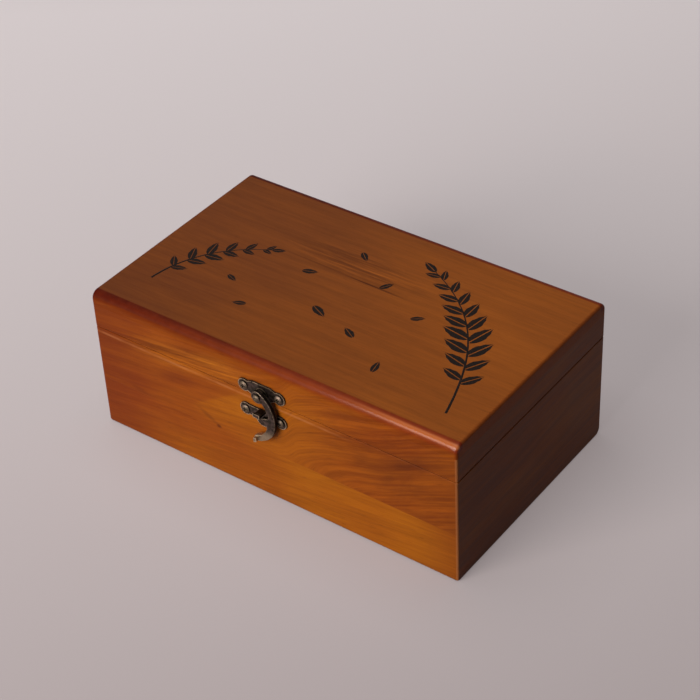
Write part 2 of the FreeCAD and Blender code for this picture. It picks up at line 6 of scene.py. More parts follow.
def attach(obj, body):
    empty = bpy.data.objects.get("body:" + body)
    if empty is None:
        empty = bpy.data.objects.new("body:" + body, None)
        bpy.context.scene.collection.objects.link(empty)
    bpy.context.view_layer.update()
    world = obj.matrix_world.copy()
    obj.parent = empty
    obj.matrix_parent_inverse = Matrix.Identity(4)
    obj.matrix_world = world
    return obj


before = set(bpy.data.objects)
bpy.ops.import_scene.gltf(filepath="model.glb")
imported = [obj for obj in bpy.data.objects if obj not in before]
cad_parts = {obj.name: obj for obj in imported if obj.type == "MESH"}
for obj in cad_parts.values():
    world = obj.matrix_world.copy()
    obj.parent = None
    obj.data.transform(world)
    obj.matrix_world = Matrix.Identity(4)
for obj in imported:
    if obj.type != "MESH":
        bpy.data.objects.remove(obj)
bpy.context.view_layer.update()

# The view: the camera stands in front of the box and to its right, a metre off,
# looking down on the lid. Its place comes from fitting the box's corners and
# edges to those of the photograph. The roll is in radians.
MM = 0.001
view_turn = math.radians(37.927)
view_height = math.radians(37.652)
view_roll = -0.0535
view_distance = 949.3 * MM
view_target = Vector((-5.70, 8.99, 39.72)) * MM
lens_mm = 99.74
sensor_mm = 36
nearest_seen = 10 * MM

toward_camera = Vector((
    math.sin(view_turn) * math.cos(view_height),
    -math.cos(view_turn) * math.cos(view_height),
    math.sin(view_height),
))
level_right = Vector((0, 0, 1)).cross(toward_camera).normalized()
level_up = toward_camera.cross(level_right)
camera_right = math.cos(view_roll) * level_right + math.sin(view_roll) * level_up
camera_up = -math.sin(view_roll) * level_right + math.cos(view_roll) * level_up
camera_axes = Matrix((camera_right, camera_up, toward_camera)).transposed()

bpy.ops.object.camera_add(location=view_target + view_distance * toward_camera)
camera = bpy.context.object
camera.name = "photograph_view"
camera.rotation_euler = camera_axes.to_euler()
camera.data.lens = lens_mm
camera.data.sensor_width = sensor_mm
camera.data.clip_start = nearest_seen
bpy.context.scene.camera = camera
bpy.context.scene.view_settings.view_transform = "Standard"

# Floor: one smooth sheet of pale paper that keeps the box's soft shadow. Its
# colour and its glow are painted lighter towards the back left and darker in
# front, a painted drop in the light across the paper.


def shade(red, green, blue):
    """A colour as a screen shows it, from 0 to 255, as the linear colour that shaders take."""
    linear = []
    for level in (red, green, blue):
        part = level / 255
        linear.append(part / 12.92 if part <= 0.04045 else ((part + 0.055) / 1.055) ** 2.4)
    return (*linear, 1.0)


def add_node(tree, kind, sockets=None, **settings):
    """A shader node with its settings, and its inputs given as values or as links."""
    node = tree.nodes.new(kind)
    for name, value in settings.items():
        setattr(node, name, value)
    for name, value in (sockets or {}).items():
        if isinstance(value, bpy.types.NodeSocket):
            tree.links.new(value, node.inputs[name])
        else:
            node.inputs[name].default_value = value
    return node


def calc(tree, operation, first, second=0.0, third=0.0):
    sockets = {0: first, 1: second, 2: third}
    return add_node(tree, "ShaderNodeMath", sockets, operation=operation).outputs[0]


def total(tree, start, *parts):
    """The start value plus each part times its weight."""
    value = start
    for part, weight in parts:
        value = calc(tree, "MULTIPLY_ADD", part, weight, value)
    return value


def product(tree, first, *others):
    value = first
    for other in others:
        value = calc(tree, "MULTIPLY", value, other)
    return value


def ease(tree, value, low, high):
    """0 at low, 1 at high, and a smooth step between; low may be the larger number."""
    sockets = {"Value": value, "From Min": low, "From Max": high}
    return add_node(tree, "ShaderNodeMapRange", sockets, interpolation_type="SMOOTHSTEP").outputs[0]


def fade(tree, value, low, high):
    """1 at low, 0 at high, and a smooth step between."""
    return calc(tree, "SUBTRACT", 1.0, ease(tree, value, low, high))


def blend_colour(tree, factor, first, second):
    sockets = {0: factor, 6: first, 7: second}
    return add_node(tree, "ShaderNodeMix", sockets, data_type="RGBA").outputs[2]


def new_material(name):
    material = bpy.data.materials.new(name)
    material.use_nodes = True
    tree = material.node_tree
    tree.nodes.clear()
    surface = add_node(tree, "ShaderNodeBsdfPrincipled")
    add_node(tree, "ShaderNodeOutputMaterial", {"Surface": surface.outputs[0]})
    return material, tree, surface


def place_in_mm(tree):
    """The place on the object in millimetres."""
    place = add_node(tree, "ShaderNodeTexCoord").outputs["Object"]
    sockets = {0: place, 1: (1000, 1000, 1000)}
    return add_node(tree, "ShaderNodeVectorMath", sockets, operation="MULTIPLY").outputs[0]


def axes_of(tree, vector):
    """The three parts of a place or a direction: across, away and up."""
    return add_node(tree, "ShaderNodeSeparateXYZ", {0: vector}).outputs


floor_side = 8
near_paper = shade(141, 133, 133)
far_paper = shade(188, 181, 181)
near_glow = shade(122, 113, 113)
far_glow = shade(158, 150, 150)
to_the_back, to_the_left = 0.8, 0.6
fade_start, fade_end = -200, 450

paper, tree, surface = new_material("backdrop_paper")
across, away = axes_of(tree, place_in_mm(tree))[:2]
# Colour and glow blend from near to far along this line, a painted drop in the light towards the
# front.
behind = total(tree, 0.0, (away, to_the_back), (across, -to_the_left))
sockets = {"Value": behind, "From Min": fade_start, "From Max": fade_end}
painted_light_falloff = add_node(tree, "ShaderNodeMapRange", sockets).outputs[0]
tree.links.new(blend_colour(tree, painted_light_falloff, near_paper, far_paper), surface.inputs["Base Color"])
rays = add_node(tree, "ShaderNodeLightPath").outputs
seen = calc(tree, "MAXIMUM", rays["Is Camera Ray"], rays["Is Glossy Ray"])
glow = blend_colour(tree, painted_light_falloff, near_glow, far_glow)
tree.links.new(blend_colour(tree, seen, (0, 0, 0, 1), glow), surface.inputs["Emission Color"])
surface.inputs["Emission Strength"].default_value = 1.0
surface.inputs["Roughness"].default_value = 0.9
surface.inputs["Specular IOR Level"].default_value = 0.1

bpy.ops.object.select_all(action="DESELECT")
bpy.ops.mesh.primitive_plane_add(size=floor_side)
floor = bpy.context.object
floor.name = "paper_floor"
floor.data.materials.append(paper)

# Light: a soft window low in front and a little to the left with a warm edge, a
# softer one overhead, and a dim room that shows in glossy surfaces. The box's
# right end is turned away and stays dark, and the shadow falls behind the box.
room_colour = (0.95, 0.96, 1.0, 1.0)
room_level = 0.04
room_in_gloss = 0.55


def soft_light(name, direction, distance, width, height, power, colour):
    """A lit rectangle that faces the box from a direction; lengths in metres, power in watts."""
    direction = Vector(direction).normalized()
    bpy.ops.object.light_add(type="AREA", location=direction * distance)
    light = bpy.context.object
    light.name = name
    light.rotation_euler = direction.to_track_quat("Z", "Y").to_euler()
    light.data.shape = "RECTANGLE"
    light.data.size = width
    light.data.size_y = height
    light.data.energy = power
    light.data.color = colour


soft_light("window_light", direction=(-0.17, -0.89, 0.43), distance=1.4, width=0.9, height=0.8,
           power=19.0, colour=(1.0, 0.99, 0.98))
soft_light("window_edge", direction=(-0.36, -1.10, 0.47), distance=1.3, width=0.40, height=0.10,
           power=1.3, colour=(1.0, 0.52, 0.34))
soft_light("overhead_light", direction=(-0.20, 0.0, 1.0), distance=1.5, width=1.3, height=1.3,
           power=8.6, colour=(0.98, 0.99, 1.0))

room = bpy.data.worlds.new("room")
room.use_nodes = True
bpy.context.scene.world = room
rays = add_node(room.node_tree, "ShaderNodeLightPath").outputs
strength = total(room.node_tree, room_level, (rays["Is Glossy Ray"], room_in_gloss))
room_light = room.node_tree.nodes["Background"]
room_light.inputs["Color"].default_value = room_colour
room.node_tree.links.new(strength, room_light.inputs["Strength"])

# Boards of the base and rails of the lid: solid wood, stained red-brown and
# varnished. Base and lid were glued up as one closed box and then sawn apart,
# so a board and the rail over it share one grain. The inside is bare.
mask_kind = "NodeSocketFloat"
colour_kind = "NodeSocketColor"
dark_stain = shade(80, 34, 15)
pore_stain = shade(66, 26, 10)
red_stain = shade(127, 54, 14)
amber_stain = shade(160, 91, 16)
# Rubbed stain, also used as a painted highlight on the upright corners.
rubbed_stain_and_highlight = shade(194, 124, 76)
pale_streak = shade(196, 120, 48)
# Painted contact shade at the foot of the boards.
painted_foot_shade = shade(36, 16, 9)
# Painted contact shade round the plates and just above the table.
painted_contact_shade = shade(40, 16, 8)
bare_light = shade(206, 170, 122)
bare_dark = shade(168, 124, 78)
quarter = math.radians(90)
half_inside = (96.05, 54.05)
half_outside = (105.0, 63.0)
end_softening = 1.4
front_face = -63.0
seam_height = 59.85
strip_top = 28.9
strip_joint = 0.3
contact_shade_reach = 2.2 * MM


def effect_group(name, inputs, outputs):
    """A node group with named sockets; three numbers are a place, four a colour."""
    group = bpy.data.node_groups.new(name, "ShaderNodeTree")
    for label, value in inputs:
        kind = mask_kind
        if isinstance(value, tuple):
            kind = "NodeSocketVector" if len(value) == 3 else colour_kind
        socket = group.interface.new_socket(label, in_out="INPUT", socket_type=kind)
        socket.default_value = value
    for label, kind in outputs:
        group.interface.new_socket(label, in_out="OUTPUT", socket_type=kind)
    given = group.nodes.new("NodeGroupInput").outputs
    result = group.nodes.new("NodeGroupOutput").inputs
    return group, given, result


def use(tree, group, sockets):
    return add_node(tree, "ShaderNodeGroup", sockets, node_tree=group).outputs


def vector_math(tree, operation, first, second):
    sockets = {0: first, ("Scale" if operation == "SCALE" else 1): second}
    return add_node(tree, "ShaderNodeVectorMath", sockets, operation=operation).outputs


def noise(tree, place, stretch, size, detail, rough=0.5):
    """Noise that is drawn out along the axes where the stretch is small."""
    drawn = vector_math(tree, "MULTIPLY", place, stretch)[0]
    sockets = {"Vector": drawn, "Scale": size, "Detail": detail, "Roughness": rough}
    return add_node(tree, "ShaderNodeTexNoise", sockets).outputs


def relief(tree, surface, height, strength, depth):
    """A bump from a height, of a depth in millimetres."""
    sockets = {"Height": height, "Strength": strength, "Distance": depth * MM}
    bump = add_node(tree, "ShaderNodeBump", sockets)
    tree.links.new(bump.outputs[0], surface.inputs["Normal"])


def grain_group():
    """Growth rings, fibres, broader streaks, pores and patches of a board whose grain runs along X.
    The heart of the tree lies behind the board, and the rings run round it."""
    group, given, result = effect_group("board_grain", (
        ("Place", (0, 0, 0)), ("Heart Depth", 20.0), ("Heart Slope", 0.1),
        ("Heart Height", 30.0), ("Ring Width", 3.0), ("Waviness", 6.0),
    ), [(name, mask_kind) for name in ("Rings", "Fibres", "Streaks", "Pores", "Patches")])
    ring_unevenness = 1.6
    late_wood_power = 1.6
    ring_end = 0.80
    place = given["Place"]
    sway = noise(group, place, (0.35, 1, 1), 0.022, 2)["Color"]
    centred = vector_math(group, "SUBTRACT", sway, (0.5, 0.5, 0.5))[0]
    moved = vector_math(group, "SCALE", centred, given["Waviness"])[0]
    bent = vector_math(group, "ADD", place, moved)[0]
    along, depth, height = axes_of(group, bent)
    tilt = calc(group, "MULTIPLY", along, given["Heart Slope"])
    below = calc(group, "ADD", calc(group, "ADD", depth, given["Heart Depth"]), tilt)
    beside = calc(group, "SUBTRACT", height, given["Heart Height"])
    squares = calc(group, "MULTIPLY_ADD", below, below, product(group, beside, beside))
    turns = calc(group, "DIVIDE", calc(group, "SQRT", squares), given["Ring Width"])
    sockets = {"W": turns, "Scale": 0.35, "Detail": 1.0}
    uneven = add_node(group, "ShaderNodeTexNoise", sockets, noise_dimensions="1D").outputs["Fac"]
    phase = calc(group, "FRACT", total(group, turns, (uneven, ring_unevenness)))
    late_wood = calc(group, "POWER", phase, late_wood_power)
    group.links.new(product(group, late_wood, fade(group, phase, ring_end, 1.0)), result["Rings"])
    for name, at, stretch, size, detail, rough, low, high in (
        ("Fibres", place, 0.05, 0.85, 6, 0.62, 0.32, 0.68),
        ("Streaks", bent, 0.04, 0.26, 2, 0.5, 0.34, 0.66),
        ("Pores", place, 0.07, 2.6, 2, 0.5, 0.60, 0.72),
        ("Patches", place, 0.4, 0.035, 3, 0.55, 0.35, 0.65),
    ):
        cloud = noise(group, at, (stretch, 1.0, 1.0), size, detail, rough)["Fac"]
        group.links.new(ease(group, cloud, low, high), result[name])
    return group


def spot_group():
    """A soft oval that is 1 at its middle and 0 at its edge, with its own size and turn."""
    group, given, result = effect_group("soft_spot", (
        ("Place", (0, 0, 0)), ("Middle", (0, 0, 0)), ("Turn", (0, 0, 0)),
        ("Half Size", (1, 1, 1)), ("Core", 0.2),
    ), [("Mask", mask_kind)])
    sockets = {"Vector": given["Place"], "Location": given["Middle"], "Rotation": given["Turn"],
               "Scale": given["Half Size"]}
    local = add_node(group, "ShaderNodeMapping", sockets, vector_type="TEXTURE").outputs[0]
    out = add_node(group, "ShaderNodeVectorMath", {0: local}, operation="LENGTH").outputs["Value"]
    group.links.new(fade(group, out, given["Core"], 1.0), result["Mask"])
    return group


def stain_group():
    """Red to amber stain by warmth, streaked by the fibres, darker in late wood and pores."""
    group, given, result = effect_group("stained_wood", (
        ("Rings", 0.0), ("Fibres", 0.5), ("Streaks", 0.5), ("Pores", 0.0), ("Warmth", 0.5),
        ("Ring Strength", 0.3), ("Fibre Strength", 0.3), ("Cool Stain", red_stain),
        ("Warm Stain", amber_stain),
    ), [("Colour", colour_kind)])
    broad_share = 0.7
    figure_in_warmth = 0.5
    pore_weight = 0.25
    fine = calc(group, "SUBTRACT", given["Fibres"], 0.5)
    broad = calc(group, "SUBTRACT", given["Streaks"], 0.5)
    figure = product(group, total(group, fine, (broad, broad_share)), given["Fibre Strength"])
    warmth = total(group, given["Warmth"], (figure, figure_in_warmth))
    warmth = add_node(group, "ShaderNodeClamp", {"Value": warmth}).outputs[0]
    ground = blend_colour(group, warmth, given["Cool Stain"], given["Warm Stain"])
    light = vector_math(group, "SCALE", ground, calc(group, "ADD", figure, 1.0))[0]
    late = product(group, given["Rings"], given["Ring Strength"])
    ringed = blend_colour(group, late, light, dark_stain)
    pores = product(group, given["Pores"], pore_weight)
    group.links.new(blend_colour(group, pores, ringed, pore_stain), result["Colour"])
    return group


def bare_group():
    """Bare pale wood of the inside, darker in the late wood and the fibres."""
    group, given, result = effect_group("bare_wood", (("Rings", 0.0), ("Fibres", 0.5)),
                                        [("Colour", colour_kind)])
    colour = bare_light
    for name, weight in (("Rings", 0.6), ("Fibres", 0.3)):
        colour = blend_colour(group, product(group, given[name], weight), colour, bare_dark)
    group.links.new(colour, result["Colour"])
    return group


def hollow_group():
    """1 on the faces that line the hollow, 0 on the outside."""
    group, given, result = effect_group("hollow_side", [("Place", (0, 0, 0))],
                                        [("Mask", mask_kind)])
    across, away = axes_of(group, given["Place"])[:2]
    wide = calc(group, "LESS_THAN", calc(group, "ABSOLUTE", across), half_inside[0])
    deep = calc(group, "LESS_THAN", calc(group, "ABSOLUTE", away), half_inside[1])
    group.links.new(product(group, wide, deep), result["Mask"])
    return group


def edge_wear_and_shade_group():
    """Stain rubbed thin on the upright corners, with a painted highlight that grows towards the
    right end; a faint lighter line just under the seam; and a painted contact shade at the foot of
    the boards."""
    group, given, result = effect_group("edge_wear_highlight_and_shade",
                                        (("Place", (0, 0, 0)), ("Colour", red_stain)),
                                        [("Colour", colour_kind)])
    line_height = seam_height - 2.4
    line_start, line_end = 0.2, 1.0
    foot_start, foot_end, foot_weight = 0.2, 1.6, 0.60
    across, away, up = axes_of(group, given["Place"])
    at_corner = 1.0
    for part, half in ((across, half_outside[0]), (away, half_outside[1])):
        past = calc(group, "SUBTRACT", calc(group, "ABSOLUTE", part), half - end_softening)
        at_corner = product(group, ease(group, past, 0.1, 0.8), at_corner)
    # The corners' lightening is wear and a painted highlight, stronger towards the right end.
    corner = product(group, at_corner, total(group, 0.10, (ease(group, across, -60, 60), 0.34)))
    from_line = calc(group, "ABSOLUTE", calc(group, "SUBTRACT", up, line_height))
    uneven = noise(group, given["Place"], (1, 1, 0.2), 0.09, 3)["Fac"]
    strength = total(group, 0.14, (ease(group, uneven, 0.40, 0.60), 0.16))
    line = product(group, fade(group, from_line, line_start, line_end), strength,
                   fade(group, across, 36, 52))
    rubbed = calc(group, "MAXIMUM", corner, line)
    light = blend_colour(group, rubbed, given["Colour"], rubbed_stain_and_highlight)
    # Painted contact shade along the lowest millimetres of the boards.
    foot = product(group, fade(group, up, foot_start, foot_end), foot_weight)
    group.links.new(blend_colour(group, foot, light, painted_foot_shade), result["Colour"])
    return group


def varnish_group():
    """Satin varnish outside and dull bare wood inside, with a fine relief of fibres and pores."""
    group, given, result = effect_group("varnish_film",
                                        (("Fibres", 0.5), ("Pores", 0.0), ("Inside", 0.0)),
                                        (("Roughness", mask_kind), ("Relief", mask_kind)))
    bare_roughness = 0.62
    satin = total(group, 0.34, (given["Fibres"], 0.10))
    sockets = {0: given["Inside"], 2: satin, 3: bare_roughness}
    group.links.new(add_node(group, "ShaderNodeMix", sockets).outputs[0], result["Roughness"])
    group.links.new(total(group, given["Fibres"], (given["Pores"], -0.6)), result["Relief"])
    return group


board_grain = grain_group()
soft_spot = spot_group()
stained_wood = stain_group()
bare_wood = bare_group()
hollow_side = hollow_group()
edge_wear_highlight_and_shade = edge_wear_and_shade_group()
varnish_film = varnish_group()


def grain_of(tree, place, depth, slope, height, width, waviness, turn=(0, 0, 0), shift=(0, 0, 0)):
    """The board's grain, after turning the place so that the grain runs along X."""
    sockets = {"Vector": place, "Rotation": turn, "Location": shift}
    mapped = add_node(tree, "ShaderNodeMapping", sockets).outputs[0]
    return use(tree, board_grain, {"Place": mapped, "Heart Depth": depth, "Heart Slope": slope,
                                   "Heart Height": height, "Ring Width": width,
                                   "Waviness": waviness})


def spot(tree, place, middle, half_size, turn=(0, 0, 0), core=0.2):
    turn = tuple(math.radians(angle) for angle in turn)
    return use(tree, soft_spot, {"Place": place, "Middle": middle, "Turn": turn,
                                 "Half Size": half_size, "Core": core})[0]


def stain(tree, grain, warmth, rings, fibres, cool=red_stain, warm=amber_stain):
    sockets = {name: grain[name] for name in ("Rings", "Fibres", "Streaks", "Pores")}
    sockets.update({"Warmth": warmth, "Ring Strength": rings, "Fibre Strength": fibres,
                    "Cool Stain": cool, "Warm Stain": warm})
    return use(tree, stained_wood, sockets)[0]


def finish_wood(tree, surface, grain, colour, bare_where, thick=None):
    """Bare wood where the stain stopped, varnish over the rest, thicker where a coat is given."""
    bare = use(tree, bare_wood, {"Rings": grain["Rings"], "Fibres": grain["Fibres"]})[0]
    tree.links.new(blend_colour(tree, bare_where, colour, bare), surface.inputs["Base Color"])
    film = use(tree, varnish_film, {"Fibres": grain["Fibres"], "Pores": grain["Pores"],
                                    "Inside": bare_where})
    tree.links.new(film["Roughness"], surface.inputs["Roughness"])
    relief(tree, surface, film["Relief"], strength=0.16, depth=0.1)
    surface.inputs["Specular IOR Level"].default_value = 0.06
    if thick is not None:
        surface.inputs["Specular IOR Level"].default_value = 0.03
        tree.links.new(thick, surface.inputs["Coat Weight"])
        surface.inputs["Coat Roughness"].default_value = 0.18


def facing_back(tree):
    """1 where the surface faces the back of the box, -1 where it faces the front."""
    return axes_of(tree, add_node(tree, "ShaderNodeTexCoord").outputs["Normal"])[1]


def shade_at_metal(tree, colour):
    """Front-facing wood darkened round the plates and just above the table, a painted contact
    shade.
    """
    sockets = {"Distance": contact_shade_reach}
    free = add_node(tree, "ShaderNodeAmbientOcclusion", sockets, samples=8).outputs["AO"]
    near = ease(tree, calc(tree, "SUBTRACT", 1.0, free), 0.10, 0.60)
    contact_shade_mask = product(tree, near, 0.80, ease(tree, facing_back(tree), -0.80, -0.97))
    return blend_colour(tree, contact_shade_mask, colour, painted_contact_shade)


def front_group():
    """The front's figure: red at the left end, pale streaks along the seam, an amber wedge, a dark
    flame at the upper right whose grain arches and climbs, a lighter strip glued on below it, and
    one knot."""
    group, given, result = effect_group("front_figure", [("Place", (0, 0, 0))], (
        ("Colour", colour_kind), ("Rings", mask_kind), ("Fibres", mask_kind), ("Pores", mask_kind)))
    mark_depth = 60
    strip_grain_shift = 150.0
    board_slope, flame_slope, flame_start, flame_rounding = 0.12, 0.36, 5.0, 40.0
    arch_height, arch_growth = 6.5, -0.14
    wedge_turn = math.radians(32.3)
    wedge_x, wedge_z = -45.4, 38.3
    place = given["Place"]
    across, away, up = axes_of(group, place)
    in_strip = fade(group, up, strip_top - strip_joint, strip_top + strip_joint)
    over_strip = calc(group, "SUBTRACT", 1.0, in_strip)

    past_start = calc(group, "SUBTRACT", across, flame_start)
    bend = calc(group, "SMOOTH_MAX", past_start, 0.0, flame_rounding)
    arch = product(group, ease(group, across, 6, 18), fade(group, across, 24, 70))
    over = calc(group, "MAXIMUM", calc(group, "SUBTRACT", up, strip_top), 0.0)
    rise = calc(group, "EXPONENT", product(group, over, arch_growth))
    rise = calc(group, "SUBTRACT", 1.0, rise)
    climb = total(group, 0.0, (across, board_slope),
                  (product(group, bend, over_strip), flame_slope),
                  (product(group, arch, rise), arch_height))
    depth = total(group, away, (in_strip, strip_grain_shift))
    sockets = {0: across, 1: depth, 2: calc(group, "SUBTRACT", up, climb)}
    bent = add_node(group, "ShaderNodeCombineXYZ", sockets).outputs[0]
    grain = grain_of(group, bent, depth=80.0, slope=0.03, height=-12.0, width=2.3, waviness=5.0)

    def mark(x, z, half_wide, half_high, turn=0, core=0.2):
        return spot(group, place, (x, front_face, z), (half_wide, mark_depth, half_high),
                    (0, turn, 0), core)

    right_side = product(group, ease(group, across, 5, 60), over_strip)
    left_end = fade(group, across, -108, -50)
    right_end = ease(group, across, 70, 106)
    seam_streaks = mark(-44, 62.5, 54, 10, -6, 0.3)
    middle = mark(4, 44, 46, 44)
    low_middle = mark(-28, 6, 40, 22)
    low_right = product(group, in_strip, mark(52, 14, 62, 40, 0, 0.5))
    lid_patch = mark(-30, 70, 18, 6, -12)
    left_patch = mark(-55, 48.5, 17, 5.5, -6)
    smudge = mark(70, 51, 30, 15, -28)
    upper_streak = mark(82, 61, 26, 5, -24)
    faint_mark = mark(-81, 31, 8, 1.8, 8)
    knot = mark(-30.8, 30.2, 2.2, 1.5)
    knot_tail = mark(-37, 34, 10, 2.0, 28)
    past_edge = total(group, 0.0,
                      (calc(group, "SUBTRACT", across, wedge_x), math.sin(wedge_turn)),
                      (calc(group, "SUBTRACT", up, wedge_z), -math.cos(wedge_turn)))
    wedge = product(group, ease(group, past_edge, -0.8, 1.4), fade(group, past_edge, 9, 22),
                    mark(-22, 44, 34, 18, 0, 0.6))

    warmth = total(group, 0.22, (grain["Patches"], 0.20), (middle, 0.24), (low_right, 0.40),
                   (seam_streaks, 0.24), (left_end, -0.36), (wedge, 0.26), (right_side, -0.06),
                   (left_patch, -0.10), (low_middle, 0.20), (lid_patch, 0.22))
    rings = total(group, 0.05, (right_side, 0.14), (seam_streaks, 0.06))
    fibres = total(group, 0.17, (right_side, 0.12), (seam_streaks, 0.38))
    colour = stain(group, grain, warmth, rings, fibres)
    pale = product(group, seam_streaks, grain["Streaks"], 0.14)
    colour = blend_colour(group, pale, colour, pale_streak)
    cloud = noise(group, bent, (0.5, 1.0, 1.0), 0.13, 3)["Fac"]
    blotch = product(group, ease(group, cloud, 0.45, 0.68), right_side)
    dark = total(group, 0.0, (knot, 0.70), (blotch, 0.20), (knot_tail, 0.32), (smudge, 0.30),
                 (upper_streak, 0.24), (left_end, 0.24), (right_end, 0.20), (left_patch, 0.22),
                 (faint_mark, 0.22))
    group.links.new(blend_colour(group, dark, colour, dark_stain), result["Colour"])
    for name in ("Rings", "Fibres", "Pores"):
        group.links.new(grain[name], result[name])
    return group


front_figure = front_group()


def front_wood():
    material, tree, surface = new_material("front_board_wood")
    place = place_in_mm(tree)
    figure = use(tree, front_figure, {"Place": place})
    colour = use(tree, edge_wear_highlight_and_shade, {"Place": place, "Colour": figure["Colour"]})[0]
    colour = shade_at_metal(tree, colour)
    finish_wood(tree, surface, figure, colour, use(tree, hollow_side, {"Place": place})[0])
    return material


def plain_wood(name, cut, warmth, figure, cool=red_stain, painted_front_shade=0.0):
    """Wood of a board with no marks of its own, cut from the tree as the grain's values say. Its
    warmth goes from the first value to the second by patches, and a painted shade may darken it
    towards its front end."""
    material, tree, surface = new_material(name)
    place = place_in_mm(tree)
    away = axes_of(tree, place)[1]
    grain = grain_of(tree, place, **cut)
    least, most = warmth
    warmth = total(tree, least, (grain["Patches"], most - least))
    rings = total(tree, 0.4 * figure, (grain["Patches"], 0.6 * figure))
    colour = stain(tree, grain, warmth, rings, 0.22, cool)
    # Painted shade, darker towards the front end of the board.
    painted_front_shade_mask = product(tree, ease(tree, away, 30, -66), painted_front_shade)
    colour = blend_colour(tree, painted_front_shade_mask, colour, dark_stain)
    colour = use(tree, edge_wear_highlight_and_shade, {"Place": place, "Colour": colour})[0]
    finish_wood(tree, surface, grain, colour, use(tree, hollow_side, {"Place": place})[0])
    return material


side_woods = {
    "front": front_wood(),
    "right": plain_wood(
        "right_board_wood", warmth=(0.05, 0.35), figure=0.16, cool=shade(120, 57, 18),
        painted_front_shade=0.36,
        cut={"depth": 60.0, "slope": 0.05, "height": 20.0, "width": 4.0,
             "waviness": 12.0, "turn": (0, 0, quarter), "shift": (400, 0, 0)}),
    "back": plain_wood(
        "back_board_wood", warmth=(0.1, 0.7), figure=0.36,
        cut={"depth": -150.0, "slope": 0.08, "height": 25.0, "width": 4.2,
             "waviness": 14.0, "shift": (700, 30, 0)}),
    "left": plain_wood(
        "left_board_wood", warmth=(0.0, 0.6), figure=0.36,
        cut={"depth": 50.0, "slope": 0.06, "height": 110.0, "width": 3.6,
             "waviness": 12.0, "turn": (0, 0, quarter), "shift": (100, 0, 90)}),
}


def dress(node, material):
    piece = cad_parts[node]
    piece.data.materials.clear()
    piece.data.materials.append(material)


for side, wood in side_woods.items():
    dress("box_%s_board" % side, wood)
    dress("lid_%s_rail" % side, wood)

# Bottom panel: thin plywood, bare on both faces, glued into a rebate under the
# boards.
ply_light = shade(200, 160, 112)
ply_dark = shade(166, 120, 74)
ply_fibre = shade(150, 106, 64)


def ply_wood():
    material, tree, surface = new_material("bottom_plywood")
    grain = grain_of(tree, place_in_mm(tree), depth=90.0, slope=0.10, height=10.0, width=6.0,
                     waviness=30.0, turn=(quarter, 0, 0), shift=(40, 0, 0))
    colour = blend_colour(tree, product(tree, grain["Rings"], 0.5), ply_light, ply_dark)
    colour = blend_colour(tree, product(tree, grain["Fibres"], 0.3), colour, ply_fibre)
    tree.links.new(colour, surface.inputs["Base Color"])
    tree.links.new(total(tree, 0.62, (grain["Fibres"], 0.12)), surface.inputs["Roughness"])
    relief(tree, surface, grain["Fibres"], strength=0.2, depth=0.1)
    return material


dress("bottom_panel", ply_wood())

# Top panel of the lid: boards glued edge to edge, laid over the rails. The
# stain has gathered on the rounded long edges, which are darker and redder,
# and the varnish lies thicker there. A painted highlight lies along the front edge at the right.
lid_top = 80
panel_underside = 73.0
round_start, round_end = 57.9, 59.1
band_foot, band_top = 74.4, 79.0
upright_front = -61.0
top_cool_stain = shade(105, 55, 29)
top_warm_stain = shade(160, 87, 30)
joint_stain = shade(62, 26, 12)
gathered_left = shade(74, 12, 1)
gathered_right = shade(124, 44, 16)
# Painted highlight colour for the front roundover.
painted_edge_highlight = shade(192, 106, 46)


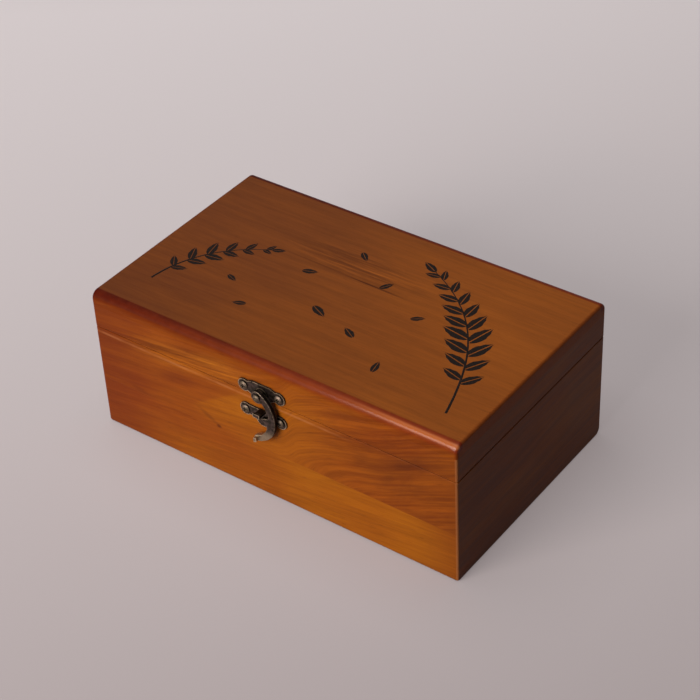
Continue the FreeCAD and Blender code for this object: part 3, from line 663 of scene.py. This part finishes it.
def top_wood():
    """The panel's front side goes on with the figure of the front board and rail below it."""
    material, tree, surface = new_material("top_panel_wood")
    place = place_in_mm(tree)
    across, away, up = axes_of(tree, place)
    grain = grain_of(tree, place, depth=40.0, slope=0.05, height=-27.0, width=2.3, waviness=7.0,
                     turn=(quarter, 0, 0))

    def streak(x, y, half_long, half_wide, turn, core=0.2):
        return spot(tree, place, (x, y, lid_top), (half_long, half_wide, 60), (0, 0, turn), core)

    flame = streak(-10, 23, 50, 14, -2, 0.25)
    joint = streak(-14, 14.4, 52, 1.0, -1.5)
    joint_dark = streak(10, 13.8, 22, 0.9, -1)
    warmth = total(tree, 0.16, (grain["Patches"], 0.16), (ease(tree, across, -100, 95), 0.56))
    rings = total(tree, 0.03, (flame, 0.46))
    fibres = total(tree, 0.12, (flame, 0.34))
    colour = stain(tree, grain, warmth, rings, fibres, top_cool_stain, top_warm_stain)
    dark = total(tree, 0.0, (joint, 0.42), (joint_dark, 0.35), (ease(tree, away, 30, -50), 0.13))
    colour = blend_colour(tree, dark, colour, joint_stain)
    front_side = product(tree, calc(tree, "LESS_THAN", away, upright_front),
                         fade(tree, up, 77.2, 78.0))
    figure = use(tree, front_figure, {"Place": place})["Colour"]
    colour = blend_colour(tree, front_side, colour, figure)

    mottle = ease(tree, noise(tree, place, (1, 1, 1), 0.22, 3)["Fac"], 0.30, 0.70)
    browner = total(tree, 0.0, (ease(tree, across, -105, 100), 0.80), (mottle, 0.20))
    gathered = blend_colour(tree, browner, gathered_left, gathered_right)
    from_middle = calc(tree, "ABSOLUTE", away)
    band = product(tree, ease(tree, from_middle, round_start, round_end),
                   ease(tree, up, band_foot, band_top))
    ends = ease(tree, calc(tree, "ABSOLUTE", across), 103.0, 104.6)
    colour = blend_colour(tree, total(tree, 0.0, (band, 0.92), (ends, 0.40)), colour, gathered)
    # Painted highlight on the front roundover, faint at the left and strong towards the right end.
    rubbed = total(tree, 0.0, (ease(tree, across, -105, 40), 0.08),
                   (ease(tree, across, 35, 85), 0.52))
    rubbed = product(tree, ease(tree, up, 77.6, 78.8), ease(tree, away, -59.8, upright_front),
                     rubbed)
    colour = shade_at_metal(tree, blend_colour(tree, rubbed, colour, painted_edge_highlight))

    hollow = use(tree, hollow_side, {"Place": place})[0]
    under = product(tree, hollow, calc(tree, "LESS_THAN", up, panel_underside + 0.1))
    rim = product(tree, ease(tree, up, 77.9, 78.7), fade(tree, up, 79.5, 79.9),
                  ease(tree, from_middle, 60.0, 61.5))
    rim_coat = total(tree, 0.02, (ease(tree, across, 15, 100), 0.36))
    end_glint = spot(tree, place, (104, -61.5, 78.5), (4, 3, 3))
    thick = total(tree, 0.03, (product(tree, rim, rim_coat), 1.0), (end_glint, 0.3))
    finish_wood(tree, surface, grain, colour, under, thick)
    return material


dress("lid_top_panel", top_wood())

# Printed leaves on the lid: black-brown ink laid on the varnish by a screen, a
# hair thick. Each leaf is one shape with a bare vein along its middle.
ink_top = 80.03 * MM
ink_thickness = 0.06 * MM
ink_dark = shade(22, 17, 14)
ink_thin = shade(50, 32, 21)
stem_width = 1.2 * MM
stem_tip = 0.35
leaf_width = 0.46
leaf_tip = 0.12
half_vein = 0.02


def printing_ink():
    material, tree, surface = new_material("printing_ink")
    thin = noise(tree, place_in_mm(tree), (1, 1, 1), 1.4, 4.0)["Fac"]
    colour = blend_colour(tree, ease(tree, thin, 0.48, 0.72), ink_dark, ink_thin)
    tree.links.new(colour, surface.inputs["Base Color"])
    tree.links.new(total(tree, 0.42, (thin, 0.2)), surface.inputs["Roughness"])
    surface.inputs["Specular IOR Level"].default_value = 0.06
    relief(tree, surface, thin, strength=0.1, depth=0.05)
    return material


def pick_past(mesh_object, limit):
    """In edit mode, select just the points further along X than the limit."""
    bpy.ops.mesh.select_mode(type="VERT")
    bpy.ops.mesh.select_all(action="DESELECT")
    bpy.ops.object.mode_set(mode="OBJECT")
    for point in mesh_object.data.vertices:
        point.select = point.co.x > limit
    bpy.ops.object.mode_set(mode="EDIT")


def leaf_pattern():
    """One leaf, one unit long and one thick, pointing along X from its stalk, with a slit for the
    vein. An oval narrows twice on its way to a drawn-out tip."""
    bpy.ops.object.select_all(action="DESELECT")
    bpy.ops.mesh.primitive_circle_add(vertices=20, radius=0.5, fill_type="NGON",
                                      location=(0.5, 0, 0))
    leaf = bpy.context.object
    bpy.ops.object.transform_apply(location=True, rotation=True, scale=True)
    bpy.ops.object.mode_set(mode="EDIT")
    bpy.ops.transform.resize(value=(1, leaf_width, 1), center_override=(0, 0, 0))
    for limit, narrower in ((0.6, 0.80), (0.85, 0.65)):
        pick_past(leaf, limit)
        bpy.ops.transform.resize(value=(1, narrower, 1), center_override=(0, 0, 0))
    pick_past(leaf, 0.99)
    bpy.ops.transform.translate(value=(leaf_tip, 0, 0))
    bpy.ops.mesh.select_all(action="SELECT")
    bpy.ops.mesh.bisect(plane_co=(0, half_vein, 0), plane_no=(0, 1, 0), clear_inner=True)
    bpy.ops.mesh.select_all(action="SELECT")
    upwards = {"value": (0, 0, 1), "orient_type": "GLOBAL"}
    bpy.ops.mesh.extrude_region_move(TRANSFORM_OT_translate=upwards)
    bpy.ops.mesh.select_all(action="SELECT")
    bpy.ops.mesh.normals_make_consistent(inside=False)
    bpy.ops.object.mode_set(mode="OBJECT")
    mirror = leaf.modifiers.new("other_half", "MIRROR")
    mirror.use_axis = (False, True, False)
    bpy.ops.object.modifier_apply(modifier=mirror.name)
    return leaf


def print_leaf(at, heading, length):
    """A copy of the leaf, turned, sized in the plane only, and set down on the lid."""
    leaf = bpy.data.objects.new("leaf", leaf_shape.data.copy())
    bpy.context.collection.objects.link(leaf)
    size = Matrix.Diagonal((length * MM, length * MM, ink_thickness, 1))
    turn = Matrix.Rotation(math.radians(heading), 4, "Z")
    place = Matrix.Translation(Vector((at[0] * MM, at[1] * MM, ink_top - ink_thickness)))
    leaf.data.transform(place @ turn @ size)
    return leaf


def print_stem(start, start_pull, end_pull, end):
    """A flat curved line of ink, narrower at its tip."""
    bpy.ops.object.select_all(action="DESELECT")
    bpy.ops.curve.primitive_bezier_curve_add(location=(0, 0, 0))
    stem = bpy.context.object
    stem.data.dimensions = "3D"
    first, last = stem.data.splines[0].bezier_points
    for point, at, pull in ((first, start, start_pull), (last, end, end_pull)):
        point.handle_left_type = "FREE"
        point.handle_right_type = "FREE"
        point.co = Vector((at[0], at[1], 0)) * MM
        point.handle_right = Vector((pull[0], pull[1], 0)) * MM
        point.handle_left = Vector((pull[0], pull[1], 0)) * MM
    last.radius = stem_tip
    stem.data.resolution_u = 24
    stem.data.bevel_depth = stem_width / 2
    stem.data.bevel_resolution = 1
    stem.data.use_fill_caps = True
    bpy.ops.object.convert(target="MESH")
    flat = Matrix.Diagonal((1, 1, ink_thickness / stem_width, 1))
    stem.data.transform(Matrix.Translation(Vector((0, 0, ink_top - ink_thickness / 2))) @ flat)
    return stem


def along_curve(start, start_pull, end_pull, end, part):
    """The point of the curve at a part of its way, and its heading in degrees."""
    rest = 1 - part
    at = [rest ** 3 * a + 3 * rest ** 2 * part * b + 3 * rest * part ** 2 * c + part ** 3 * d
          for a, b, c, d in zip(start, start_pull, end_pull, end)]
    way = [rest ** 2 * (b - a) + 2 * rest * part * (c - b) + part ** 2 * (d - c)
           for a, b, c, d in zip(start, start_pull, end_pull, end)]
    return at, math.degrees(math.atan2(way[1], way[0]))


def join_print(name, inked):
    """The printed shapes as one piece, which lies on the lid and turns with it."""
    bpy.ops.object.select_all(action="DESELECT")
    for piece in inked:
        piece.select_set(True)
    bpy.context.view_layer.objects.active = inked[0]
    bpy.ops.object.join()
    printed = bpy.context.object
    printed.name = name
    printed.data.materials.clear()
    printed.data.materials.append(ink)
    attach(printed, "lid")


def print_sprig(name, curve, pairs, longest):
    """A stem with leaves in pairs that get smaller and lean in towards its tip."""
    first_pair, pair_run = 0.20, 0.74
    widest_at = 0.45
    stagger = 0.012
    lean_at_foot, lean_lost = 58, 22
    tip_at, tip_share = 0.99, 0.62
    inked = [print_stem(*curve)]
    for pair in range(pairs):
        part = first_pair + pair_run * pair / (pairs - 1)
        length = longest * (1 - abs(part - widest_at))
        for side in (1, -1):
            at, heading = along_curve(*curve, part + stagger * side)
            lean = side * (lean_at_foot - lean_lost * part)
            inked.append(print_leaf(at, heading + lean, length))
    at, heading = along_curve(*curve, tip_at)
    inked.append(print_leaf(at, heading, longest * tip_share))
    join_print(name, inked)


ink = printing_ink()
leaf_shape = leaf_pattern()
print_sprig("printed_long_sprig", ((88, -46), (78, -8), (62, 22), (24, 40)), 9, 15.5)
print_sprig("printed_short_sprig", ((-88, -38), (-86, -16), (-74, 2), (-52, 12)), 6, 11.0)
falling = (
    (-30, 6, 20, 8.0), (-8, -14, -25, 10.0), (10, 14, 60, 7.5), (22, -24, 150, 8.5),
    (-36, -30, 200, 7.0), (44, -40, 100, 8.0), (-14, 34, 320, 7.5), (-58, -16, 340, 6.5),
    (36, 2, 35, 7.0),
)
loose = [print_leaf((x, y), heading, length) for x, y, heading, length in falling]
join_print("printed_loose_leaves", loose)
bpy.data.objects.remove(leaf_shape)

# Latch and hinges: stamped and cast brass, blackened for an antique look, with
# the brass showing again where edges and heads are rubbed. Countersunk screws
# hold the plates and leaves, and a rivet carries the hook.
black_brass = shade(50, 44, 34)
brown_brass = shade(92, 76, 70)
rubbed_brass = shade(226, 200, 164)
grime = shade(18, 14, 11)
hollow_reach = 0.9 * MM
grip_fade = 6
hook_grip_top = 47.0


def brass_group():
    """Blackened brass: cloudy and dark, bright where rubbed, black with grime in the hollows, and
    near black on the sides as a painted shade.
    """
    group, given, result = effect_group("aged_brass", (
        ("Place", (0, 0, 0)), ("Edge", 0.0), ("Hollow", 0.0), ("Side", 0.0), ("Rubbed", 1.0),
        ("Handled", 0.0),
    ), (("Colour", colour_kind), ("Roughness", mask_kind), ("Relief", mask_kind)))
    cloud = noise(group, given["Place"], (1, 1, 1), 0.55, 4)["Fac"]
    speck = noise(group, given["Place"], (1, 1, 1), 3.2, 3)["Fac"]
    rim = product(group, given["Edge"], ease(group, cloud, 0.28, 0.52), given["Rubbed"])
    bright = total(group, rim, (ease(group, speck, 0.60, 0.80), 0.20))
    wear = calc(group, "MAXIMUM", bright, given["Handled"])
    dark = blend_colour(group, ease(group, cloud, 0.35, 0.65), black_brass, brown_brass)
    colour = blend_colour(group, wear, dark, rubbed_brass)
    in_hollow = ease(group, given["Hollow"], 0.40, 0.75)
    # Hollows take their grime; the sides are darkened as a painted shade.
    black = calc(group, "MAXIMUM", in_hollow, product(group, given["Side"], 0.88))
    group.links.new(blend_colour(group, black, colour, grime), result["Colour"])
    group.links.new(total(group, 0.28, (speck, 0.22), (black, 0.25)), result["Roughness"])
    group.links.new(speck, result["Relief"])
    return group


aged_brass = brass_group()


def antique_brass(name, rubbed, rim_width, worn=0.0, grip_top=None, dull=0.0):
    """Brass with bright rims and sides painted near black as shade, and brighter below the height
    where it is gripped.
    """
    material, tree, surface = new_material(name)
    place = place_in_mm(tree)
    sockets = {"Radius": rim_width * MM}
    rounded = add_node(tree, "ShaderNodeBevel", sockets, samples=8).outputs[0]
    flat = add_node(tree, "ShaderNodeNewGeometry").outputs["Normal"]
    match = vector_math(tree, "DOT_PRODUCT", rounded, flat)["Value"]
    sockets = {"Distance": hollow_reach}
    free = add_node(tree, "ShaderNodeAmbientOcclusion", sockets, samples=8, only_local=True)
    hollow = calc(tree, "SUBTRACT", 1.0, free.outputs["AO"])
    # Faces that turn neither to the front nor to the back are painted dark, a painted shade.
    side = fade(tree, calc(tree, "ABSOLUTE", facing_back(tree)), 0.25, 0.65)
    handled = worn
    if grip_top is not None:
        gripped = fade(tree, axes_of(tree, place)[2], grip_top - grip_fade, grip_top)
        handled = product(tree, gripped, 0.42)
        side = product(tree, side, total(tree, 1.0, (gripped, -0.8)))
    metal = use(tree, aged_brass, {"Place": place, "Edge": fade(tree, match, 0.90, 0.995),
                                   "Hollow": hollow, "Side": side, "Rubbed": rubbed,
                                   "Handled": handled})
    tree.links.new(metal["Colour"], surface.inputs["Base Color"])
    surface.inputs["Metallic"].default_value = 1.0
    tree.links.new(calc(tree, "ADD", metal["Roughness"], dull), surface.inputs["Roughness"])
    relief(tree, surface, metal["Relief"], strength=0.35, depth=0.15)
    return material


plate_brass = antique_brass("antique_brass_plates", rubbed=0.85, rim_width=0.9)
screw_brass = antique_brass("antique_brass_screws", rubbed=0.30, rim_width=0.4, worn=0.10,
                            dull=0.16)
hook_brass = antique_brass("antique_brass_hook", rubbed=1.0, rim_width=0.9,
                           grip_top=hook_grip_top)
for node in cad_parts:
    if "hinge" in node or node in ("latch_plate", "catch_plate"):
        dress(node, plate_brass)
    if "screw" in node or node == "latch_rivet":
        dress(node, screw_brass)
dress("latch_hook", hook_brass)
